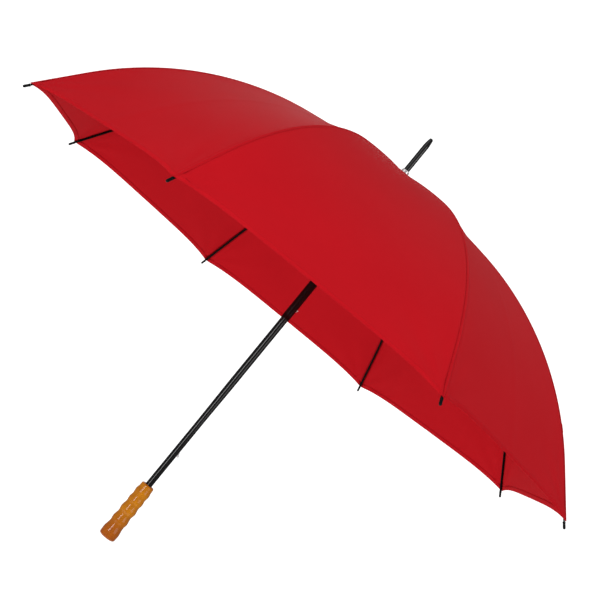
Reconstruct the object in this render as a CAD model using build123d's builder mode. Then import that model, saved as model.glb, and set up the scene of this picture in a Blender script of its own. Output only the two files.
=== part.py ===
from build123d import *

import os
from math import atan2, cos, degrees, hypot, radians, sin, sqrt, tan

# Golf umbrella, standing open on the flat end of its grip. Z runs up the shaft to the ferrule.
# Lengths are millimetres and angles are degrees. A rib, its stretcher and its rivet all lie in
# one upright plane through the shaft, where a point is (distance from the shaft's axis, height).

# ---- Driving dimensions -------------------------------------------------------------------

ribs = 8
rib_spacing = 360 / ribs
half_gore = rib_spacing / 2

overall_length = 987.0
crown_height = 896.0            # underside of the canopy at the shaft
rim_radius = 640.0              # canopy corners

# the seam line, the canopy's underside along a rib: it leaves the crown at a slope, then runs
# in a flat arc, a tighter arc and a straight end
seam_start, crown_slope = 12.8, 8.3
inner_arc_radius, inner_arc_angle = 2650.0, 13.1
outer_arc_radius, rim_slope = 620.0, 52.0
canopy_thickness = 0.8
seam_gap = 0.6
hem_rise = 10.0                 # the hem's arch between two corners
hem_reach = 60.0                # half the depth of the cut that makes the arch
gore_inner_edge = 14.4

# ribs and stretchers, both folded channels
rib_clearance = 1.2             # between the canopy and a rib's back
rib_width, rib_height = 3.4, 3.0
channel_wall, channel_web = 0.5, 0.7
tongue_width, eye_radius = 2.0, 1.9
wire_radius, wire_hole_radius = 0.8, 0.95
rib_root, rib_tongue_length = 12.0, 18.0
rib_end_block = 4.0
tip_tang_radius, tip_tang_length = 1.2, 11.0
tip_radius, tip_length, tip_rounding = 2.5, 13.0, 1.8
stretcher_height = 2.8
stretcher_tongue_length = 14.0
fork_length, fork_depth = 14.0, 10.5
fork_outer, fork_inner, fork_height = 5.2, 4.0, 3.8
rivet_radius, rivet_hole_radius = 1.0, 1.15
rivet_head_radius, rivet_head = 1.9, 0.7
slot_width = 2.6                # between the teeth of the notch and of the runner
body_gap = 0.3

# the fold, as the angles at which the linkage stands open and closed
crown_pivot = (12.0, 891.5)
runner_pivot = (13.0, 650.0)
rivet_arc = 5.4                 # degrees of the outer arc between its start and the rivet
rib_fold = 60.8

# shaft, tapered below the runner's stop
tube_bore = 5.5
lower_radius, upper_radius = 6.75, 7.6
taper_bottom, taper_top = 270.0, 385.0
tube_bottom, tube_top = 28.0, 895.4

# grip: a rounded butt, then finger swells and waists as (height, radius)
grip_top = 124.4
butt_flat, butt_rounding = 12.0, 5.0
swells = [(13.5, 17.4), (31.4, 15.1), (41.0, 16.3), (54.5, 14.4), (65.2, 16.1),
          (78.0, 14.2), (87.0, 15.4), (96.5, 14.1), (106.5, 15.2), (116.5, 13.6)]
grip_shoulder, shoulder_rounding = 13.4, 3.4

# ferrule, its ring and the patch of cloth under it
ferrule_radius, ferrule_seat, spigot_bottom = 6.1, 5.9, 867.0
ferrule_straight_top, ferrule_end_height, ferrule_end_radius = 967.0, 984.2, 4.2
ferrule_end_flat = 1.6
ring_radius, ring_height = 8.6, 9.4
patch_radius, patch_bore, patch_thickness = 13.8, 6.4, 0.6

# top notch
notch_radius, notch_bottom, notch_top = 14.2, 887.5, 895.6
notch_slot_floor = 9.6
notch_hub_radius, notch_hub_bottom = 9.2, 877.0

# runner: a thin sleeve with a window for the catches, and a toothed collar at its top
runner_bore, sleeve_radius = 7.9, 8.7
sleeve_bottom, sleeve_top = 532.0, 640.0
window_low, window_high, window_width = 11.0, 29.0, 3.0
collar_bottom, collar_top, collar_radius = 636.0, 659.0, 10.4
teeth_radius, teeth_half_height = 16.0, 5.0

# spring catches, two alike: the lower one stands nose down and the upper one is turned over
catch_reach, catch_height, catch_step = 11.0, 14.0, 0.4
leaf_inner, leaf_outer, leaf_width = 3.6, 4.8, 1.6
leaf_length, leaf_tail = 40.0, 3.0
catch_pivot_radius, catch_eye_radius = 3.4, 1.5
catch_pin_radius, catch_pin_hole = 0.6, 0.75
catch_slot_width, catch_slot_margin = 2.4, 1.2

# stop pin above the runner
stop_pin_radius, stop_pin_reach = 1.0, 8.9

# tie strap and its press stud, on the gore at azimuth 0 beside a seam
strap_length, strap_width, strap_thickness = 130.0, 16.0, 0.8
strap_arc = 33.1                # degrees of the outer arc between its start and the strap
stud_radius, stud_height, stud_inset = 5.0, 1.4, 9.0

# ---- Worked-out geometry ------------------------------------------------------------------


def seam_point(arc, angle, depth=0.0):
    """A point on the seam line, or depth inside it, where the slope is angle on arc 0 or 1."""
    start, end = radians(crown_slope), radians(min(angle, inner_arc_angle))
    radius = seam_start + inner_arc_radius * (sin(end) - sin(start))
    height = crown_height - inner_arc_radius * (cos(start) - cos(end))
    if arc:
        radius += outer_arc_radius * (sin(radians(angle)) - sin(radians(inner_arc_angle)))
        height -= outer_arc_radius * (cos(radians(inner_arc_angle)) - cos(radians(angle)))
    return radius - depth * sin(radians(angle)), height - depth * cos(radians(angle))


rib_depth = rib_clearance + rib_height / 2
straight_start = seam_point(1, rim_slope)
straight_length = (rim_radius - straight_start[0]) / cos(radians(rim_slope))
rim_height = straight_start[1] - straight_length * sin(radians(rim_slope))
gore_inner_height = crown_height - tan(radians(crown_slope)) * (
    gore_inner_edge / cos(radians(half_gore)) - seam_start)

# a rib leaves its pivot at the crown's slope, and one arc brings it to the seam line's slope
rib_arc_end = seam_point(0, inner_arc_angle, rib_depth)
rib_out, rib_drop = rib_arc_end[0] - crown_pivot[0], crown_pivot[1] - rib_arc_end[1]
rib_turn = inner_arc_angle - crown_slope
rib_tangent = ((rib_drop * cos(radians(crown_slope)) - rib_out * sin(radians(crown_slope)))
               / sin(radians(rib_turn)))
rib_straight = ((rib_out * sin(radians(inner_arc_angle))
                 - rib_drop * cos(radians(inner_arc_angle))) / sin(radians(rib_turn))
                - rib_tangent)
rib_arc_radius = rib_tangent / tan(radians(rib_turn / 2))

rivet = seam_point(1, inner_arc_angle + rivet_arc, rib_depth)

# stretcher: its length fits the open linkage, and its closed angle follows from the rib's fold
stretcher_length = hypot(rivet[0] - runner_pivot[0], rivet[1] - runner_pivot[1])
open_lean = degrees(atan2(rivet[0] - runner_pivot[0], rivet[1] - runner_pivot[1]))
crank = hypot(rivet[0] - crown_pivot[0], rivet[1] - crown_pivot[1])
crank_closed = rib_fold + degrees(atan2(crown_pivot[1] - rivet[1], rivet[0] - crown_pivot[0]))
rivet_closed = (crown_pivot[0] + crank * cos(radians(crank_closed)),
                crown_pivot[1] - crank * sin(radians(crank_closed)))
closed_rise = sqrt(stretcher_length ** 2 - (rivet_closed[0] - runner_pivot[0]) ** 2)
runner_travel = runner_pivot[1] - (rivet_closed[1] - closed_rise)

window_closed = sleeve_bottom + window_low - runner_travel
lower_catch_height = window_closed + body_gap
upper_catch_height = sleeve_bottom + window_high - body_gap


def rib_plane(azimuth):
    """The upright plane of a rib: x away from the shaft, y up, normal to the rib's right."""
    c, s = cos(radians(azimuth)), sin(radians(azimuth))
    return Plane(origin=(0, 0, 0), x_dir=(c, s, 0), z_dir=(s, -c, 0))


def along_rib_plane(azimuth, point, slope):
    """A rib's plane moved to point and turned down by slope, so that x runs along the part."""
    plane = rib_plane(azimuth)
    origin = plane.from_local_coords(Vector(point[0], point[1], 0))
    direction = plane.x_dir * cos(radians(slope)) - Vector(0, 0, 1) * sin(radians(slope))
    return Plane(origin=origin, x_dir=direction, z_dir=plane.z_dir)


def draw_rib_line(depth, tail):
    """The rib's course, depth under its middle, from its root to tail past the rim."""
    out, down = cos(radians(crown_slope)), sin(radians(crown_slope))
    start = (crown_pivot[0] + rib_root * out - depth * down,
             crown_pivot[1] - rib_root * down - depth * out)
    root = PolarLine(start, rib_straight - rib_root, direction=(out, -down))
    inner = JernArc(root @ 1, root % 1, rib_arc_radius - depth, -rib_turn)
    outer = JernArc(inner @ 1, inner % 1, outer_arc_radius - rib_depth - depth,
                    inner_arc_angle - rim_slope)
    return PolarLine(outer @ 1, straight_length + tail, direction=outer % 1)


def finish(builder, name):
    """Label a finished piece and write it as parts/name.step."""
    builder.part.label = name
    export_step(builder.part, f"parts/{name}.step")


os.makedirs("parts", exist_ok=True)

# ---- Grip ---------------------------------------------------------------------------------

with BuildPart() as handle:
    with BuildSketch(Plane.XZ):
        with BuildLine():
            Line((0, 0), (butt_flat, 0))
            butt = JernArc((butt_flat, 0), (1, 0), butt_rounding, 90)
            shoulder = (grip_shoulder, grip_top - shoulder_rounding)
            waist_points = [(radius, height) for height, radius in swells]
            Spline([butt @ 1, *waist_points, shoulder], tangents=[(0, 1), (0, 1)])
            top = JernArc(shoulder, (0, 1), shoulder_rounding, 90)
            Polyline(top @ 1, (lower_radius, grip_top), (lower_radius, tube_bottom),
                     (0, tube_bottom), (0, 0))
        make_face()
    revolve(axis=Axis.Z)
finish(handle, "handle")

# ---- Shaft tube, with slots for the catches and holes for its pins ------------------------

with BuildPart() as shaft_tube:
    with BuildSketch(Plane.XZ):
        with BuildLine():
            Polyline((tube_bore, tube_bottom), (lower_radius, tube_bottom),
                     (lower_radius, taper_bottom), (upper_radius, taper_top),
                     (upper_radius, tube_top), (tube_bore, tube_top), close=True)
        make_face()
    revolve(axis=Axis.Z)
    slot_middles = (lower_catch_height + catch_height / 2, upper_catch_height - catch_height / 2)
    with BuildSketch(Plane.YZ):
        with Locations(*[(0, middle) for middle in slot_middles]):
            Rectangle(catch_slot_width, catch_height + 2 * catch_slot_margin)
    extrude(amount=upper_radius + 1, mode=Mode.SUBTRACT)
    with BuildSketch(Plane.XZ):
        with Locations((catch_pivot_radius, lower_catch_height - leaf_length),
                       (catch_pivot_radius, upper_catch_height + leaf_length)):
            Circle(catch_pin_radius)
        with Locations((0, collar_top + stop_pin_radius + body_gap)):
            Circle(stop_pin_radius)
    extrude(amount=upper_radius + 1, both=True, mode=Mode.SUBTRACT)
finish(shaft_tube, "shaft_tube")

with BuildPart() as runner_stop:
    with BuildSketch(Plane.XZ):
        with Locations((0, collar_top + stop_pin_radius + body_gap)):
            Circle(stop_pin_radius)
    extrude(amount=stop_pin_reach, both=True)
finish(runner_stop, "runner_stop")

# ---- Spring catches and their pins --------------------------------------------------------


def make_catch(name, step_height, turn):
    """A leaf spring with a nose; turn is 1 for the nose's step facing down, -1 facing up."""
    def at(radius, rise):
        return radius, step_height + turn * rise
    with BuildPart() as catch:
        with BuildSketch(Plane.XZ):
            with BuildLine():
                Polyline(at(leaf_inner, -leaf_length), at(leaf_outer, -leaf_length),
                         at(leaf_outer, 0), at(catch_reach - catch_step, 0),
                         at(catch_reach, 3 * catch_step), at(leaf_outer, catch_height),
                         at(leaf_outer, catch_height + leaf_tail),
                         at(leaf_inner, catch_height + leaf_tail), close=True)
            make_face()
            with Locations(at(catch_pivot_radius, -leaf_length)):
                Circle(catch_eye_radius)
                Circle(catch_pin_hole, mode=Mode.SUBTRACT)
        extrude(amount=leaf_width / 2, both=True)
    finish(catch, name)


make_catch("bottom_spring", lower_catch_height, 1)
make_catch("top_spring", upper_catch_height, -1)

with BuildPart() as catch_pins:
    for height, radius in ((lower_catch_height - leaf_length, lower_radius),
                           (upper_catch_height + leaf_length, upper_radius)):
        with BuildSketch(Plane.XZ):
            with Locations((catch_pivot_radius, height)):
                Circle(catch_pin_radius)
        extrude(amount=sqrt(radius ** 2 - (catch_pivot_radius + catch_pin_radius) ** 2), both=True)
finish(catch_pins, "catch_pins")

# ---- Ferrule, ring and crown patch --------------------------------------------------------

patch_top = crown_height + patch_thickness

with BuildPart() as ferrule:
    with BuildSketch(Plane.XZ):
        with BuildLine():
            Polyline((0, overall_length), (0, spigot_bottom), (tube_bore, spigot_bottom),
                     (tube_bore, patch_top), (ferrule_seat, patch_top),
                     (ferrule_seat, patch_top + ring_height),
                     (ferrule_radius, patch_top + ring_height),
                     (ferrule_radius, ferrule_straight_top))
            taper = TangentArc((ferrule_radius, ferrule_straight_top),
                               (ferrule_end_radius, ferrule_end_height), tangent=(0, 1))
            tip = Spline([taper @ 1, (ferrule_end_flat, overall_length)],
                         tangents=[taper % 1, (-1, 0)])
            Line(tip @ 1, (0, overall_length))
        make_face()
    revolve(axis=Axis.Z)
finish(ferrule, "ferrule")

with BuildPart() as ferrule_ring:
    ring_width = ring_radius - ferrule_seat
    with BuildSketch(Plane.XZ):
        with Locations((ferrule_seat + ring_width / 2, patch_top + ring_height / 2)):
            ring_profile = Rectangle(ring_width, ring_height)
        fillet(ring_profile.vertices().group_by(Axis.X)[-1], ring_width * 0.7)
    revolve(axis=Axis.Z)
finish(ferrule_ring, "ferrule_ring")

with BuildPart() as crown_patch:
    with BuildSketch(Plane.XY.offset(crown_height)):
        Circle(patch_radius)
        Circle(patch_bore, mode=Mode.SUBTRACT)
    extrude(amount=patch_thickness)
finish(crown_patch, "crown_patch")

# ---- Top notch: a slotted ring whose wire carries the ribs --------------------------------

with BuildPart() as top_notch:
    with BuildSketch(Plane.XY.offset(notch_bottom)):
        Circle(notch_radius)
        Circle(upper_radius, mode=Mode.SUBTRACT)
    extrude(amount=notch_top - notch_bottom)
    chamfer(top_notch.edges().filter_by(GeomType.CIRCLE).group_by(SortBy.RADIUS)[-1], 0.8)
    with BuildSketch(Plane.XY.offset(notch_hub_bottom)):
        Circle(notch_hub_radius)
        Circle(upper_radius, mode=Mode.SUBTRACT)
    extrude(amount=notch_bottom - notch_hub_bottom)
    with BuildSketch(Plane.XY.offset(notch_bottom)):
        with PolarLocations(0, ribs, start_angle=half_gore):
            with Locations(((notch_slot_floor + notch_radius + 1) / 2, 0)):
                Rectangle(notch_radius + 1 - notch_slot_floor, slot_width)
    extrude(amount=notch_top - notch_bottom, mode=Mode.SUBTRACT)
    with BuildSketch(Plane.XZ):
        with Locations(((crown_pivot[0] - wire_radius + notch_radius + 1) / 2, crown_pivot[1])):
            Rectangle(notch_radius + 1 - crown_pivot[0] + wire_radius, 2 * wire_radius)
    revolve(axis=Axis.Z, mode=Mode.SUBTRACT)
finish(top_notch, "top_notch")

with BuildPart() as notch_wire:
    with BuildSketch(Plane.XZ):
        with Locations(crown_pivot):
            Circle(wire_radius)
    revolve(axis=Axis.Z)
finish(notch_wire, "notch_wire")

# ---- Runner -------------------------------------------------------------------------------

with BuildPart() as runner_sleeve:
    with BuildSketch(Plane.XY.offset(sleeve_bottom)):
        Circle(sleeve_radius)
        Circle(runner_bore, mode=Mode.SUBTRACT)
    extrude(amount=sleeve_top - sleeve_bottom)
    with BuildSketch(Plane.YZ):
        with Locations((0, sleeve_bottom + (window_low + window_high) / 2)):
            RectangleRounded(window_width, window_high - window_low, window_width / 3)
    extrude(amount=sleeve_radius + 1, mode=Mode.SUBTRACT)
finish(runner_sleeve, "runner_sleeve")

with BuildPart() as runner_collar:
    with BuildSketch(Plane.XY.offset(collar_bottom)):
        Circle(collar_radius)
        Circle(sleeve_radius, mode=Mode.SUBTRACT)
    extrude(amount=sleeve_top - collar_bottom)
    with BuildSketch(Plane.XY.offset(sleeve_top)):
        Circle(collar_radius)
        Circle(runner_bore, mode=Mode.SUBTRACT)
    extrude(amount=collar_top - sleeve_top)
    with BuildSketch(Plane.XY.offset(runner_pivot[1] - teeth_half_height)):
        Circle(teeth_radius)
        Circle(collar_radius, mode=Mode.SUBTRACT)
        with PolarLocations(0, ribs, start_angle=half_gore):
            with Locations(((collar_radius + teeth_radius + 1) / 2, 0)):
                Rectangle(teeth_radius + 1 - collar_radius, slot_width, mode=Mode.SUBTRACT)
    extrude(amount=2 * teeth_half_height)
    with BuildSketch(Plane.XZ):
        with Locations(((runner_pivot[0] - wire_radius + teeth_radius + 1) / 2, runner_pivot[1])):
            Rectangle(teeth_radius + 1 - runner_pivot[0] + wire_radius, 2 * wire_radius)
    revolve(axis=Axis.Z, mode=Mode.SUBTRACT)
finish(runner_collar, "runner_collar")

# the wire is kept inside the teeth: each stretcher's eye is the linkage's open pivot
slot_half_angle = degrees(atan2(slot_width / 2, runner_pivot[0]))

with BuildPart() as runner_wire:
    for tooth in range(ribs):
        start = tooth * rib_spacing - half_gore + slot_half_angle
        with BuildSketch(rib_plane(start)):
            with Locations(runner_pivot):
                Circle(wire_radius)
        revolve(axis=Axis.Z, revolution_arc=rib_spacing - 2 * slot_half_angle)
finish(runner_wire, "runner_wire")

# ---- Ribs with their tips and rivets ------------------------------------------------------


def make_rib(name, azimuth):
    """A channel that follows the seam line, with an eye on a flat tongue at the crown."""
    plane = rib_plane(azimuth)
    with BuildPart() as rib:
        with BuildSketch(plane):
            with BuildLine():
                draw_rib_line(0, body_gap)
            trace(line_width=rib_height)
        extrude(amount=rib_width / 2, both=True)
        with BuildSketch(plane):
            with BuildLine():
                draw_rib_line(channel_web / 2, -rib_end_block)
            trace(line_width=rib_height - channel_web)
        extrude(amount=rib_width / 2 - channel_wall, both=True, mode=Mode.SUBTRACT)
        with BuildSketch(along_rib_plane(azimuth, crown_pivot, crown_slope)):
            with Locations((rib_tongue_length / 2, 0)):
                Rectangle(rib_tongue_length, rib_height)
            Circle(eye_radius)
        extrude(amount=tongue_width / 2, both=True)
        with BuildSketch(plane):
            with Locations(crown_pivot):
                Circle(wire_hole_radius)
            with Locations(rivet):
                Circle(rivet_radius)
        extrude(amount=rib_width, both=True, mode=Mode.SUBTRACT)
        with BuildSketch(tip_plane(azimuth)):
            Circle(tip_tang_radius)
        extrude(amount=tip_tang_length)
    finish(rib, name)


def tip_plane(azimuth):
    """The plane across a rib's outer end, with its normal along the rib."""
    slope = radians(rim_slope)
    middle = (rim_radius - rib_depth * sin(slope) + body_gap * cos(slope),
              rim_height - rib_depth * cos(slope) - body_gap * sin(slope))
    run = along_rib_plane(azimuth, middle, rim_slope)
    return Plane(origin=run.origin, x_dir=run.z_dir, z_dir=run.x_dir)


def make_rib_tip(name, azimuth):
    """The rounded cap pushed onto a rib's end."""
    with BuildPart() as rib_tip:
        with BuildSketch(tip_plane(azimuth)):
            Circle(tip_radius)
        extrude(amount=tip_length)
        ends = rib_tip.edges().filter_by(GeomType.CIRCLE).sort_by(Axis.Z)
        fillet(ends[0], tip_rounding)
        with BuildSketch(tip_plane(azimuth)):
            Circle(tip_tang_radius)
        extrude(amount=tip_tang_length, mode=Mode.SUBTRACT)
    finish(rib_tip, name)


def make_rivet(name, azimuth):
    """The pin through a rib and its stretcher's fork, with a flat head at each end."""
    shank = fork_outer / 2 + body_gap
    with BuildPart() as rivet_pin:
        with BuildSketch(rib_plane(azimuth)):
            with Locations(rivet):
                Circle(rivet_radius)
        extrude(amount=shank, both=True)
        for side in (-1, 1):
            with BuildSketch(rib_plane(azimuth).offset(side * shank)):
                with Locations(rivet):
                    Circle(rivet_head_radius)
            extrude(amount=side * rivet_head)
    finish(rivet_pin, name)


# ---- Stretchers ---------------------------------------------------------------------------


def make_stretcher(name, azimuth):
    """A channel from the runner's wire to the rivet, with an eye below and a fork above."""
    plane = along_rib_plane(azimuth, runner_pivot, open_lean - 90)
    channel_start = stretcher_tongue_length - 2
    channel_end = stretcher_length - fork_depth
    channel_length = channel_end - channel_start
    channel_middle = (channel_start + channel_end) / 2
    with BuildPart() as stretcher:
        with BuildSketch(plane):
            with Locations((channel_middle, 0)):
                Rectangle(channel_length, stretcher_height)
        extrude(amount=rib_width / 2, both=True)
        with BuildSketch(plane):
            with Locations((channel_middle - fork_length / 4, -channel_web / 2)):
                Rectangle(channel_length - fork_length / 2, stretcher_height - channel_web)
        extrude(amount=rib_width / 2 - channel_wall, both=True, mode=Mode.SUBTRACT)
        with BuildSketch(plane):
            with Locations((stretcher_tongue_length / 2 + 1, 0)):
                Rectangle(stretcher_tongue_length + 2, stretcher_height)
            Circle(eye_radius)
        extrude(amount=tongue_width / 2, both=True)
        with BuildSketch(plane):
            with Locations((stretcher_length - fork_length / 2, 0)):
                Rectangle(fork_length, fork_height)
            with Locations((stretcher_length, 0)):
                Circle(fork_height / 2)
        extrude(amount=fork_outer / 2, both=True)
        with BuildSketch(plane):
            with Locations((stretcher_length, 0)):
                Rectangle(2 * fork_depth, 2 * fork_height)
        extrude(amount=fork_inner / 2, both=True, mode=Mode.SUBTRACT)
        with BuildSketch(plane):
            Circle(wire_hole_radius)
            with Locations((stretcher_length, 0)):
                Circle(rivet_hole_radius)
        extrude(amount=fork_outer, both=True, mode=Mode.SUBTRACT)
    finish(stretcher, name)


# ---- Canopy gores -------------------------------------------------------------------------


def gore_outline(depth):
    """Points of a gore's middle line, depth inside it: the seam line drawn in by the chord."""
    steps = [(0, a) for a in (9, 10, 11, 12)] + [(1, a) for a in (16, 22, 28, 34, 40, 46)]
    points = [seam_point(arc, angle) for arc, angle in steps]
    points += [straight_start, (rim_radius, rim_height)]
    chord = cos(radians(half_gore))
    inset = [(radius * chord, height) for radius, height in points]
    slopes = [angle for _, angle in steps] + [rim_slope, rim_slope]
    leans = [atan2(tan(radians(slope)), chord) for slope in slopes]
    return [(radius - depth * sin(lean), height - depth * cos(lean))
            for (radius, height), lean in zip(inset, leans)]


def make_gore(name, azimuth):
    """One cloth panel between two ribs, straight from rib to rib, with an arched hem."""
    corner = rim_radius * sin(radians(half_gore))
    chord = rim_radius * cos(radians(half_gore))
    with BuildPart() as gore:
        with BuildSketch(rib_plane(azimuth)):
            with BuildLine():
                inside = Spline([(gore_inner_edge, gore_inner_height), *gore_outline(0)])
                outside = Spline([(gore_inner_edge, gore_inner_height + canopy_thickness),
                                  *gore_outline(-canopy_thickness)])
                Line(inside @ 0, outside @ 0)
                Line(inside @ 1, outside @ 1)
            make_face()
        extrude(amount=corner, both=True)
        for side, kept in ((-1, Keep.BOTTOM), (1, Keep.TOP)):
            seam = rib_plane(azimuth + side * half_gore).offset(side * seam_gap / 2)
            split(bisect_by=seam, keep=kept)
        across = Plane(origin=(0, 0, 0), x_dir=rib_plane(azimuth).z_dir,
                       z_dir=rib_plane(azimuth).x_dir)
        with BuildSketch(across.offset(chord - hem_reach)):
            with BuildLine():
                arch = ThreePointArc((-corner, -rim_height), (0, -rim_height - hem_rise),
                                     (corner, -rim_height))
                Polyline(arch @ 0, (-corner, hem_reach - rim_height),
                         (corner, hem_reach - rim_height), arch @ 1)
            make_face()
        extrude(amount=2 * hem_reach, mode=Mode.SUBTRACT)
    finish(gore, name)


def make_tie_strap():
    """The strap that wraps the folded canopy, flat on its gore, and the stud at its free end."""
    slope = inner_arc_angle + strap_arc
    radius, height = seam_point(1, slope)
    chord = cos(radians(half_gore))
    lean = atan2(tan(radians(slope)), chord)
    outward = Vector(sin(lean), 0, cos(lean))
    lift = canopy_thickness + body_gap
    bed = Plane(origin=Vector(radius * chord, 0, height) + outward * lift,
                x_dir=(0, 1, 0), z_dir=outward)
    sewn_end = -radius * sin(radians(half_gore)) + body_gap * 4
    with BuildPart() as tie_strap:
        with BuildSketch(bed):
            with Locations((sewn_end + strap_length / 2, 0)):
                strap_outline = Rectangle(strap_length, strap_width)
            fillet(strap_outline.vertices().group_by(Axis.Y)[-1], strap_width / 3)
        extrude(amount=strap_thickness)
    finish(tie_strap, "tie_strap")
    with BuildPart() as strap_stud:
        with BuildSketch(bed.offset(strap_thickness)):
            with Locations((sewn_end + strap_length - stud_inset, 0)):
                Circle(stud_radius)
        extrude(amount=stud_height)
        fillet(strap_stud.edges().sort_by(SortBy.DISTANCE)[-1], stud_height / 2)
    finish(strap_stud, "strap_stud")


make_tie_strap()

for number in range(1, ribs + 1):
    rib_azimuth = (number - 1) * rib_spacing + half_gore
    make_rib(f"rib_{number}", rib_azimuth)
    make_rib_tip(f"rib_tip_{number}", rib_azimuth)
    make_rivet(f"rivet_{number}", rib_azimuth)
    make_stretcher(f"stretcher_{number}", rib_azimuth)
    make_gore(f"canopy_gore_{number}", (number - 1) * rib_spacing)
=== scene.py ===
import logging
from dataclasses import dataclass, field
from enum import Enum
from math import atan2, cos, exp, pi, radians, sin, tan
from typing import Callable, Sequence

import bmesh
import bpy
from mathutils import Matrix, Quaternion, Vector


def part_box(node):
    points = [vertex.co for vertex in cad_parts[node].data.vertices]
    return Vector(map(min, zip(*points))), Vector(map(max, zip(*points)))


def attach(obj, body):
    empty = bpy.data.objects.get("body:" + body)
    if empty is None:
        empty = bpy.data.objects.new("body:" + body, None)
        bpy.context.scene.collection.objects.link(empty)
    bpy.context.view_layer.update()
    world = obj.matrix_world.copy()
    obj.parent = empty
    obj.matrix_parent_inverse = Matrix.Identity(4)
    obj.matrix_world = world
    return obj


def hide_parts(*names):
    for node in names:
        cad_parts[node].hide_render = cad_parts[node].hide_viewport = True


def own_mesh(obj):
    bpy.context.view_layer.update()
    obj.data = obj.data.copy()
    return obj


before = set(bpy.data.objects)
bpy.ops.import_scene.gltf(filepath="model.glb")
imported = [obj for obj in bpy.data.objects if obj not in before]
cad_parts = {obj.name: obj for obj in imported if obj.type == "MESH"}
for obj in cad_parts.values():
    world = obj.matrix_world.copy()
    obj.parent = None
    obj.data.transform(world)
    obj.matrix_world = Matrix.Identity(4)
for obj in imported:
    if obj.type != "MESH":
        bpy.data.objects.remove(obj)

LOG = logging.getLogger("umbrella")
RIBS = 8
SPACING = 360.0 / RIBS
HALF_GORE = radians(SPACING / 2)
MM = 0.001
WAVE_RATE = 20.0
SOFT_ANGLE = 80.0


# ---- Finishes ----------------------------------------------------------------------------


class Weave(Enum):
    """How closely a cloth is woven, as the pitch of its threads in metres."""

    FINE = 0.0007
    STRAP = 0.0014

    @property
    def scale(self) -> float:
        """The scale at which a wave texture draws one band to a thread."""
        return 2 * pi / WAVE_RATE / self.value


class Sketch:
    """The node sketch of one material."""

    def __init__(self, name: str) -> None:
        """Start a material that holds only its surface shader.

        Args:
            name: the material's name.
        """
        self.material = bpy.data.materials.new(name)
        self.material.use_nodes = True
        self.tree = self.material.node_tree
        self.surface = self.tree.nodes["Principled BSDF"]

    def add(self, kind: str, settings: dict | None = None, **sockets: object) -> bpy.types.Node:
        """Add a node.

        Args:
            kind: the node's type, without its ShaderNode prefix.
            settings: properties to set on the node.
            **sockets: input values or the output sockets that feed them, by input name, where
                a name such as i0 means the input's number.

        Returns:
            The new node.
        """
        node = self.tree.nodes.new("ShaderNode" + kind)
        for key, value in (settings or {}).items():
            setattr(node, key, value)
        for key, value in sockets.items():
            numbered = key[0] == "i" and key[1:].isdigit()
            self.join(node.inputs[int(key[1:]) if numbered else key.replace("_", " ")], value)
        return node

    def join(self, socket: bpy.types.NodeSocket, value: object) -> None:
        """Link an input to an output socket, or set it to a plain value.

        Args:
            socket: the input.
            value: the output socket or the plain value.
        """
        if isinstance(value, bpy.types.NodeSocket):
            self.tree.links.new(value, socket)
        else:
            socket.default_value = value

    def maths(self, operation: str, first: object, second: object = 0.0) -> bpy.types.NodeSocket:
        """Add a maths node and return its result.

        Args:
            operation: the operation's name.
            first: the first number or socket.
            second: the second number or socket.

        Returns:
            The result's socket.
        """
        return self.add("Math", {"operation": operation}, i0=first, i1=second).outputs[0]

    def vary(self, height: object, spread: float, base: float) -> bpy.types.NodeSocket:
        """A value that starts at a base and grows by a spread with the height."""
        node = self.add("Math", {"operation": "MULTIPLY_ADD"}, i0=height, i1=spread, i2=base)
        return node.outputs[0]

    def blend(self, share: object, first: object, second: object) -> bpy.types.NodeSocket:
        """Mix two colours and return the mixed one.

        Args:
            share: how much of the second colour there is.
            first: the first colour or socket.
            second: the second colour or socket.

        Returns:
            The mixed colour's socket.
        """
        node = self.add("Mix", {"data_type": "RGBA"}, i0=share, i6=first, i7=second)
        return node.outputs[2]

    def bump(self, height: bpy.types.NodeSocket, distance: float, strength: float,
             under: bpy.types.NodeSocket | None = None) -> bpy.types.NodeSocket:
        """Add a bump and return its normal.

        Args:
            height: the socket of the height.
            distance: the height of a full step, in metres.
            strength: how much of it shows.
            under: a normal that the bump is laid on.

        Returns:
            The normal's socket.
        """
        node = self.add("Bump", None, Height=height, Distance=distance, Strength=strength)
        if under is not None:
            self.tree.links.new(under, node.inputs["Normal"])
        return node.outputs["Normal"]

    def feed(self, **sockets: object) -> bpy.types.Material:
        """Feed the surface shader's inputs, by name, and return the material."""
        for key, value in sockets.items():
            self.join(self.surface.inputs[key.replace("_", " ")], value)
        return self.material


def colour(red: float, green: float, blue: float) -> tuple[float, float, float, float]:
    """A linear colour with no transparency."""
    return (red, green, blue, 1.0)


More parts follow.
